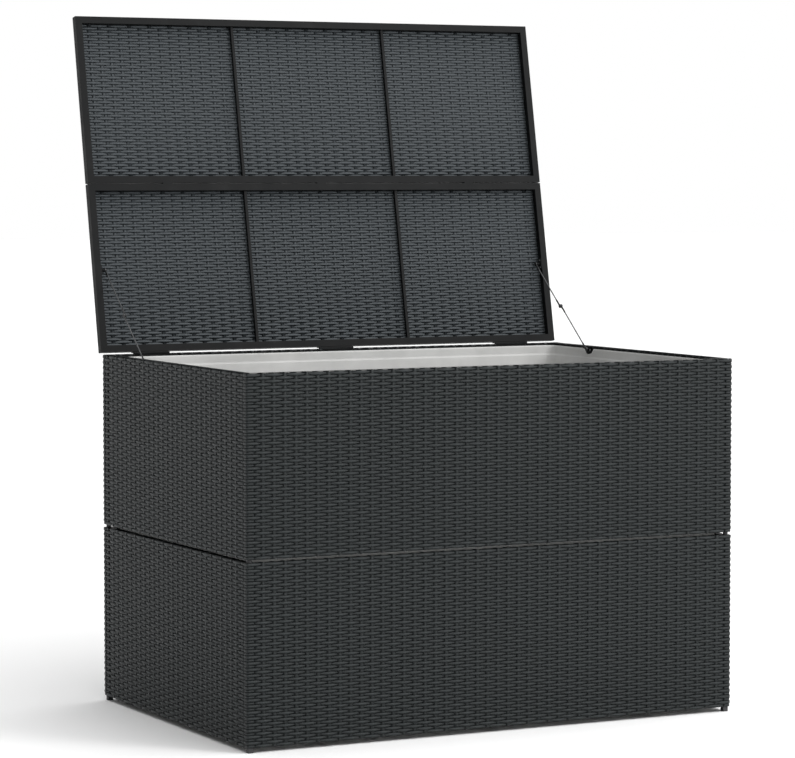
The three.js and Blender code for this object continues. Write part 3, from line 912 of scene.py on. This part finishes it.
def make_stay(side, part, stays, materials):
    """A wire stay half with an eye at each end, along the CAD link."""
    node = f"{side}_stay_{part}"
    low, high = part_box(node)
    start = Vector(JOINTS[f"{node}_pivot"]["pos_m"])
    end = low + high - start
    end.x = start.x
    span = (end - start).length
    along, across = (end - start).normalized(), Vector((1, 0, 0))
    turn = np.array((across, along.cross(across), along))
    wire, wire_quads = rope(span - 2 * ROPE_START, stays.rope_radius * 0.95, stays.lay_length)
    fitting, faces = eye_and_sleeve(high.x - low.x)
    far_fitting = fitting * [1, -1, -1] + [0, 0, span]
    meshes = {
        "rope": (wire + [0, 0, ROPE_START], wire_quads),
        "fittings": (np.concatenate([fitting, far_fitting]),
                     np.concatenate([faces, faces + len(fitting)])),
    }
    for key, (points, quads) in meshes.items():
        placed = points @ turn + np.array(start)
        made = new_piece(f"{node}_{key}", placed, quads, materials[key])
        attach(made, node)
        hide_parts(node)


# ------ liner


def liner_outline(half_x, half_y, radius, step=0.014):
    """Points round a rounded rectangle, their outward normals and run length."""
    corners = [(1, -1, -90), (1, 1, 0), (-1, 1, 90), (-1, -1, 180)]
    points, normals = [], []
    for k, (sx, sy, start) in enumerate(corners):
        centre = np.array([sx * (half_x - radius), sy * (half_y - radius)])
        for turn in np.radians(np.linspace(start, start + 90, 7)):
            direction = np.array([math.cos(turn), math.sin(turn)])
            points.append(centre + radius * direction)
            normals.append(direction)
        nx, ny, _ = corners[(k + 1) % 4]
        target = np.array([nx * (half_x - radius), ny * (half_y - radius)])
        turn = math.radians(start + 90)
        direction = np.array([math.cos(turn), math.sin(turn)])
        begin, finish = points[-1], target + radius * direction
        count = int(np.linalg.norm(finish - begin) / step)
        for share in np.linspace(0, 1, count + 1)[1:-1]:
            points.append(begin + (finish - begin) * share)
            normals.append(direction)
    points, normals = np.array(points), np.array(normals)
    run = np.concatenate([[0], np.cumsum(np.linalg.norm(np.diff(points, axis=0), axis=1))])
    return points, normals, run


def folds(run, height, total, random):
    """How deep the cloth falls in at a place on the wall, from 0 to 1."""
    depth = np.zeros(np.broadcast(run, height).shape)
    for count in (5, 8, 13, 21, 34):
        phase, lean = random.uniform(0, 2 * math.pi), random.uniform(-1.6, 1.6)
        depth += np.sin(2 * math.pi * count * run / total + lean * height * 3 + phase) / count**0.5
    return 0.5 + 0.5 * np.tanh(depth * 0.8)


LINER_NODES = ("liner_floor", "liner_front", "liner_back", "liner_left", "liner_right")
HEM = 28 * MM  # height of the turned hem
HEM_ROOM = 3.6 * MM  # the hem stands out past the walls by this
FOOT_RADIUS = 16 * MM  # where the walls turn into the floor
CORNER_TURN = 24 * MM  # where one wall turns into the next
NOTCH_DEPTH = 17 * MM  # the hem's dip under a stay bracket
WALL_ROWS = 60  # rings of points down a wall
FLOOR_ROWS = 34  # rings of points over the floor


def liner_limits():
    corners = np.array([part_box(name) for name in LINER_NODES])
    return Vector(corners[:, 0].min(0)), Vector(corners[:, 1].max(0))


def notch_depth(x, y):
    """How far the hem dips at each point of the outline, to clear the stay brackets."""
    depth = np.zeros(len(x))
    for side, sign in SIDES.items():
        low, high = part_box(f"{side}_stay_box_bracket")
        away = np.abs(y - (low.y + high.y) / 2) - (high.y - low.y) / 2
        share = np.clip((9 * MM - away) / (6 * MM), 0, 1)
        near = (sign * x > 0.7) & (share > 0)
        depth[near] = NOTCH_DEPTH * (share * share * (3 - 2 * share))[near]
    return depth


def liner_wall(liner, low, high, outline, random):
    """Rows of points down the walls, from the top of the hem to the foot."""
    points, normals, run = outline
    hem, floor = high.z - HEM, low.z + liner.thickness
    levels = np.concatenate([
        np.linspace(high.z, hem, 6), [hem - 0.6 * MM],
        np.linspace(hem - 2 * MM, floor + FOOT_RADIUS, WALL_ROWS),
        floor + FOOT_RADIUS * (1 - np.sin(np.linspace(0, math.pi / 2, 6)[1:])),
    ])
    share = np.clip((levels - floor) / (hem - floor), 0, 1)[:, None]
    hang = share * np.clip((hem - levels[:, None]) / (90 * MM), 0, 1)
    reach = folds(run[None, :], share, run[-1], random)
    foot = np.clip((floor + FOOT_RADIUS - levels) / FOOT_RADIUS, 0, 1)[:, None]
    inward = 1.2 * MM + liner.fold * hang**0.7 * reach
    inward = inward + FOOT_RADIUS * (1 - np.sqrt(1 - foot**2))
    inward = np.where(levels[:, None] > hem - 0.1 * MM, -1.0 * MM, inward)
    wall = np.empty((len(levels), len(points), 3))
    wall[..., :2] = points[None] - normals[None] * inward[..., None]
    in_hem = np.clip((levels - hem) / HEM, 0, 1)[:, None]
    wall[..., 2] = levels[:, None] - in_hem * notch_depth(*points.T)[None]
    return wall


def drawn_in(values, end, by):
    """Shrinks a ring's coordinates by a length, with its corners kept as they are."""
    inside = np.abs(values) <= end
    return np.where(inside, values * (1 - by / end), values - np.sign(values) * by)


def liner_floor(liner, last, random):
    """Rings of points from the foot of the walls to a ridge along the middle."""
    shares = np.append(np.linspace(0, 1, FLOOR_ROWS)[1:], 1.0)[:, None]
    bars = [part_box(f"floor_bar_{name}") for name in HINGES]
    places = [(low.x + high.x) / 2 for low, high in bars]
    rows = np.empty((FLOOR_ROWS, len(last), 3))
    ends = last.max(0) - 10 * MM
    by = shares * ends[1]
    rows[..., 0] = drawn_in(last[:, 0], ends[0], by)
    rows[..., 1] = drawn_in(last[:, 1], ends[1], by)
    rows[-1, :, 1] = 0.0
    phase = 2 * math.pi * (rows[..., 0] - places[0]) / (places[1] - places[0])
    slack = (0.5 - 0.5 * np.cos(phase)) * np.clip(shares * 6, 0, 1)
    ripple = folds(rows[..., 0] * 1.7 + rows[..., 1], rows[..., 1], 2.4, random)
    rows[..., 2] = last[:, 2] - slack * (liner.sag - 1.5 * MM * (ripple - 0.5))
    return rows


def make_liner(liner, cloth):
    low, high = liner_limits()
    half_x, half_y = (high.x - low.x) / 2 - HEM_ROOM, (high.y - low.y) / 2 - HEM_ROOM
    points, normals, run = liner_outline(half_x, half_y, CORNER_TURN)
    random = np.random.default_rng(11)
    centre = np.array([0.0, (low.y + high.y) / 2, 0.0])
    wall = liner_wall(liner, low, high, (points + centre[:2], normals, run), random)
    surface = np.concatenate([wall, liner_floor(liner, wall[-1] - centre, random) + centre])
    rows, columns = surface.shape[:2]
    quads = wrapped_quads(rows, columns)[:, [0, 3, 2, 1]]  # the cloth faces inwards
    steps = np.linalg.norm(np.diff(surface, axis=0), axis=-1).mean(1)
    down = np.concatenate([[0], np.cumsum(steps)])
    made = new_piece("liner_bag", surface.reshape(-1, 3), quads, cloth, True, {
        "along": np.broadcast_to(run, (rows, columns)),
        "across": np.broadcast_to(down[:, None], (rows, columns)),
    })
    solid = made.modifiers.new("cloth_thickness", "SOLIDIFY")
    solid.thickness, solid.offset = liner.thickness, 1.0
    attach(made, "box")
    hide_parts(*LINER_NODES)


# ------ stage


def add_light(name, kind, at, towards, **settings):
    light = bpy.data.lights.new(name, kind)
    for key, value in settings.items():
        setattr(light, key, value)
    made = bpy.data.objects.new(name, light)
    made.location = at
    made.rotation_euler = (Vector(towards) - Vector(at)).to_track_quat("-Z", "Y").to_euler()
    bpy.context.scene.collection.objects.link(made)


def add_camera(stage):
    camera = bpy.data.objects.new("camera", bpy.data.cameras.new("camera"))
    camera.data.lens, camera.data.sensor_width = stage.lens, 36.0
    camera.data.clip_start, camera.data.clip_end = 0.1, 200.0
    camera.location = stage.eye
    camera.rotation_euler = (math.pi / 2 - stage.dip, 0.0, -stage.turn)
    bpy.context.scene.collection.objects.link(camera)
    bpy.context.scene.camera = camera


def floor_finish(base):
    finish = Finish("studio_floor")
    mottle = finish.noise(finish.place(), 0.6, 2.0)
    darker = [channel * 0.985 for channel in base]
    return finish.set(Base_Color=finish.mix(mottle, base, darker), Roughness=0.9,
                      Specular_IOR_Level=0.1).owner


def studio_world(stage):
    """White overhead, behind the box and along the horizon, and dim behind the camera."""
    studio = Finish("studio_world", "worlds", "Background")
    direction = studio.node("ShaderNodeTexCoord", output="Generated")
    away = (math.sin(stage.turn), math.cos(stage.turn), 0.0)
    facing, height = (
        studio.node("ShaderNodeVectorMath", {"operation": "DOT_PRODUCT"}, {0: direction, 1: axis},
                    output="Value")
        for axis in (away, (0.0, 0.0, 1.0))
    )
    backdrop, ceiling = studio.limits(facing, 0.2, 0.8), studio.limits(height, 0.45, 0.85)
    horizon = studio.limits(height * height, 0.05, 0.03)
    lit = studio.maths("MAXIMUM", studio.maths("MAXIMUM", backdrop, ceiling), horizon)
    studio.set(Color=studio.mix(lit, [stage.dim] * 3, (1.0, 1.0, 1.0)), Strength=1.0)
    bpy.context.scene.world = studio.owner


# ------ operators


class BodyWeaveOperator(bpy.types.Operator):
    """Weave the eight panels of the body."""

    bl_idname = "storage_box.body_weave"
    bl_label = "Weave the Body"

    def execute(self, context):
        weave = context.scene.storage_weave
        material = strand_finish("woven_strand", weave.dark, weave.light, weave.dark, weave.light)
        for seed, (tier, face) in enumerate((t, f) for t in TIERS for f in (*ENDS, *SIDES)):
            weave_panel(face, tier, weave, material, 100 + seed)
        return {"FINISHED"}


class LidWeaveOperator(bpy.types.Operator):
    """Weave the two panels of the lid."""

    bl_idname = "storage_box.lid_weave"
    bl_label = "Weave the Lid"

    def execute(self, context):
        weave = context.scene.storage_weave
        # Under the lid the strands' inner faces are painted lighter: painted light on the open
        # lid's underside.
        material = strand_finish(
            "woven_lid_strand", weave.dark, weave.light, weave.painted_lit_lid_dark, weave.painted_lit_lid_light)
        for seed, name in enumerate(("rear", "front")):
            weave_lid_panel(name, weave, material, 200 + seed)
        return {"FINISHED"}


class MetalworkOperator(bpy.types.Operator):
    """Coat the tube frames and the floor bars."""

    bl_idname = "storage_box.metalwork"
    bl_label = "Coat the Metalwork"

    def execute(self, context):
        metal = context.scene.storage_metal
        coat = coated_finish("powder_coat", metal.coat)
        tubes = [name for name in frame["nodes"] if name.endswith("_frame")]
        tubes += [name for name in frame["nodes"] if name.startswith("floor_bar")]
        dress(tubes, coat, metal.edge_radius, 3)
        return {"FINISHED"}


class FittingsOperator(bpy.types.Operator):
    """Finish the hinges, brackets, bolts, dowels and feet, and add their screws."""

    bl_idname = "storage_box.fittings"
    bl_label = "Finish the Fittings"

    def execute(self, context):
        metal = context.scene.storage_metal
        zinc = plated_finish("zinc_plate", metal.zinc)
        black = coated_finish("black_bracket", [c * BRACKET_SHADE for c in metal.coat])
        plastic = moulded_finish("black_plastic", metal.plastic)
        nodes = frame["nodes"]
        dress([n for n in nodes if "_hinge_" in n], black, 0.3 * MM)
        dress([n for n in nodes if n.endswith("_bolt")], zinc, 0.3 * MM)
        dress([n for n in nodes if n.endswith("_bracket")], black, 0.3 * MM)
        dress([n for n in nodes if n.endswith(("_dowel", "_foot"))], plastic, 0.8 * MM)
        for name in HINGES:
            hinge_screws(name, metal.screw_radius, zinc)
        for side in SIDES:
            bracket_screws(side, zinc)
        return {"FINISHED"}


class StaysOperator(bpy.types.Operator):
    """Make the two folding wire stays."""

    bl_idname = "storage_box.stays"
    bl_label = "Make the Stays"

    def execute(self, context):
        metal = context.scene.storage_metal
        materials = {
            "rope": plated_finish("stay_wire", [c * WIRE_SHADE for c in metal.zinc]),
            "fittings": plated_finish("stay_fittings", [c * FITTING_SHADE for c in metal.zinc]),
        }
        for side in SIDES:
            for part in ("lower", "upper"):
                make_stay(side, part, context.scene.storage_stays, materials)
        return {"FINISHED"}


class LinerOperator(bpy.types.Operator):
    """Hang the cloth liner in the box."""

    bl_idname = "storage_box.liner"
    bl_label = "Hang the Liner"

    def execute(self, context):
        liner = context.scene.storage_liner
        make_liner(liner, cloth_finish("liner_cloth", liner.cloth))
        return {"FINISHED"}


class StageOperator(bpy.types.Operator):
    """Set up the floor, the light and the camera."""

    bl_idname = "storage_box.stage"
    bl_label = "Set Up the Stage"

    def execute(self, context):
        stage = context.scene.storage_stage
        half = stage.floor_half
        corners = half * np.array([(-1, -1, 0), (1, -1, 0), (1, 1, 0), (-1, 1, 0)])
        floor = new_piece("floor", corners, np.array([[0, 1, 2, 3]]), floor_finish(stage.floor))
        studio_world(stage)
        add_light("sky", "SUN", (0, 0, 0), (-0.6, 0.5, -1.0), angle=math.radians(90), energy=2.2)
        add_light("key", "AREA", (2.4, -4.2, 3.6), (0, 0, 0.8), shape="DISK", size=1.8, energy=110)
        add_camera(stage)
        context.scene.view_settings.view_transform = "Standard"
        return {"FINISHED"}


OPERATORS = (
    MetalworkOperator, FittingsOperator, BodyWeaveOperator, LidWeaveOperator, StaysOperator,
    LinerOperator, StageOperator,
)


class StorageBoxPanel(bpy.types.Panel):
    """Lists the storage box's sizes and steps in the sidebar."""

    bl_idname = "VIEW3D_PT_storage_box"
    bl_label = "Storage Box"
    bl_space_type = "VIEW_3D"
    bl_region_type = "UI"
    bl_category = "Storage Box"

    def draw(self, context):
        for key, group in SETTINGS.items():
            settings = getattr(context.scene, key)
            section = self.layout.box()
            for name in group.__annotations__:
                section.prop(settings, name)
        for operator in OPERATORS:
            self.layout.operator(operator.bl_idname)


CLASSES = (*SETTINGS.values(), *OPERATORS, StorageBoxPanel)


def register():
    for cls in CLASSES:
        bpy.utils.register_class(cls)
    for key, group in SETTINGS.items():
        setattr(bpy.types.Scene, key, PointerProperty(type=group))


def unregister():
    for key in SETTINGS:
        delattr(bpy.types.Scene, key)
    for cls in reversed(CLASSES):
        bpy.utils.unregister_class(cls)


def main():
    register()
    for operator in OPERATORS:
        group, name = operator.bl_idname.split(".")
        getattr(getattr(bpy.ops, group), name)()


if __name__ == "__main__":
    main()
